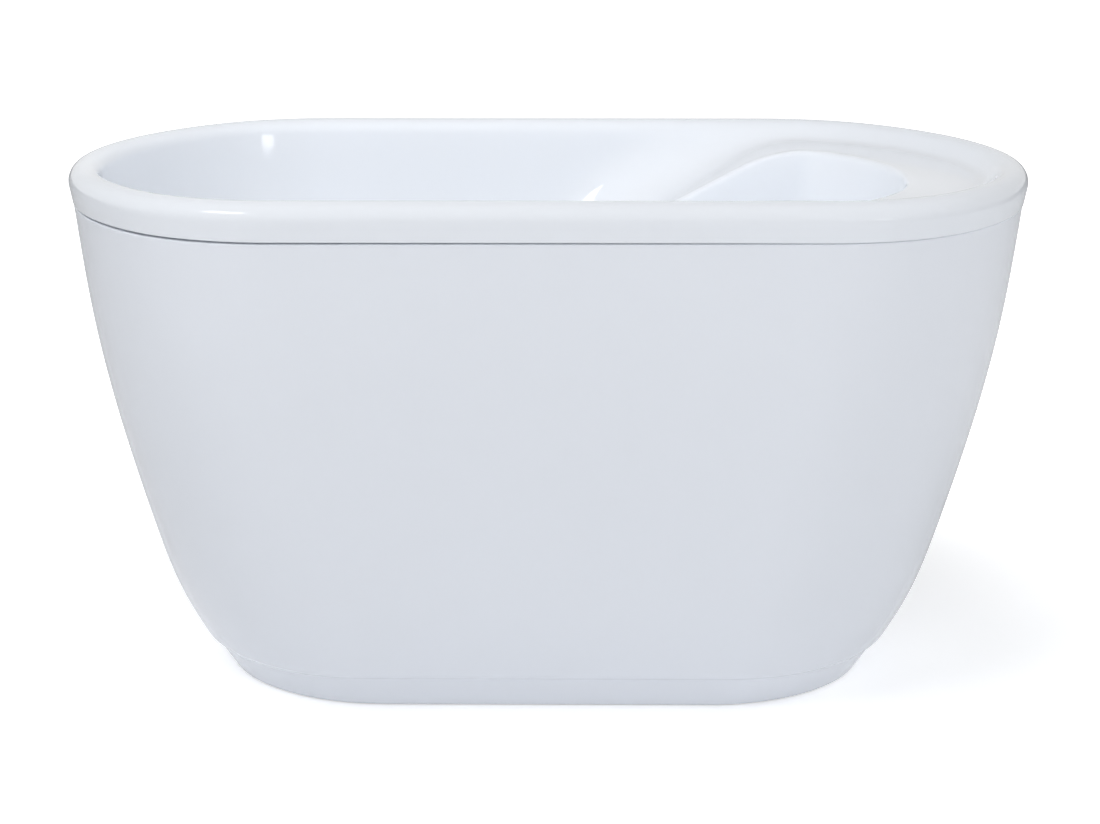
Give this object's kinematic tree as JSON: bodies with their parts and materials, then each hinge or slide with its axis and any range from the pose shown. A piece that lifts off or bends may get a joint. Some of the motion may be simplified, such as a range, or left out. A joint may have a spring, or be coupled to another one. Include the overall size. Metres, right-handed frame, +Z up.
{
  "type": "sit-in bathtub",
  "caption": "Free-standing oval sit-in bathtub with a rolled rim, moulded seat and armrests, tapered skirt, pop-up waste, overflow and levelling feet.",
  "frame": {"origin": "on the floor, under the middle of the tub", "axes": "+X along the tub towards the seat end, +Y across it to the back, +Z up"},
  "size_m": [1.1998, 0.7, 0.68],
  "materials": {
    "white_acrylic": "polished",
    "sealant": "matt",
    "board": "raw",
    "frame_steel": "satin powder coat",
    "zinc_steel": "zinc plated",
    "foot_rubber": "matt",
    "seal_rubber": "matt",
    "polished_chrome": "polished",
    "cartridge_brass": "satin",
    "fitting_plastic": "satin",
    "pipe_plastic": "satin"
  },
  "bodies": {
    "tub": {"board_screws": "zinc_steel", "drain_body": "fitting_plastic", "drain_flange": "polished_chrome", "drain_gasket": "seal_rubber", "floor_board": "board", "foot_lock_nuts": "zinc_steel", "foot_weld_nuts": "zinc_steel", "frame_cross_left": "frame_steel", "frame_cross_middle": "frame_steel", "frame_cross_right": "frame_steel", "frame_rail_back": "frame_steel", "frame_rail_front": "frame_steel", "inner_tub": "white_acrylic", "outer_skirt": "white_acrylic", "overflow_body": "fitting_plastic", "overflow_cover": "polished_chrome", "overflow_gasket": "seal_rubber", "overflow_pipe": "pipe_plastic", "overflow_screw": "polished_chrome", "rim_bond_bead": "sealant", "seat_bearer_left": "frame_steel", "seat_bearer_right": "frame_steel", "seat_board": "board", "seat_leg_left_back": "frame_steel", "seat_leg_left_front": "frame_steel", "seat_leg_right_back": "frame_steel", "seat_leg_right_front": "frame_steel", "skirt_strap_left_back": "frame_steel", "skirt_strap_left_front": "frame_steel", "skirt_strap_right_back": "frame_steel", "skirt_strap_right_front": "frame_steel", "stopper_cartridge": "cartridge_brass", "strap_screws": "zinc_steel"},
    "stopper": {"stopper_cap": "polished_chrome", "stopper_seal": "seal_rubber"},
    "foot_left_front": {"foot_stud_left_front": "zinc_steel", "foot_pad_left_front": "foot_rubber"},
    "foot_left_back": {"foot_stud_left_back": "zinc_steel", "foot_pad_left_back": "foot_rubber"},
    "foot_right_front": {"foot_stud_right_front": "zinc_steel", "foot_pad_right_front": "foot_rubber"},
    "foot_right_back": {"foot_stud_right_back": "zinc_steel", "foot_pad_right_back": "foot_rubber"}
  },
  "joints": [
    {"name": "stopper_lift", "type": "slide", "parent": "tub", "child": "stopper", "axis": [0, 0, 1], "range_m": [0, 0.009]},
    {"name": "foot_left_front_level", "type": "slide", "parent": "tub", "child": "foot_left_front", "axis": [0, 0, 1], "range_m": [-0.02, 0.004]},
    {"name": "foot_left_back_level", "type": "slide", "parent": "tub", "child": "foot_left_back", "axis": [0, 0, 1], "range_m": [-0.02, 0.004]},
    {"name": "foot_right_front_level", "type": "slide", "parent": "tub", "child": "foot_right_front", "axis": [0, 0, 1], "range_m": [-0.02, 0.004]},
    {"name": "foot_right_back_level", "type": "slide", "parent": "tub", "child": "foot_right_back", "axis": [0, 0, 1], "range_m": [-0.02, 0.004]}
  ]
}
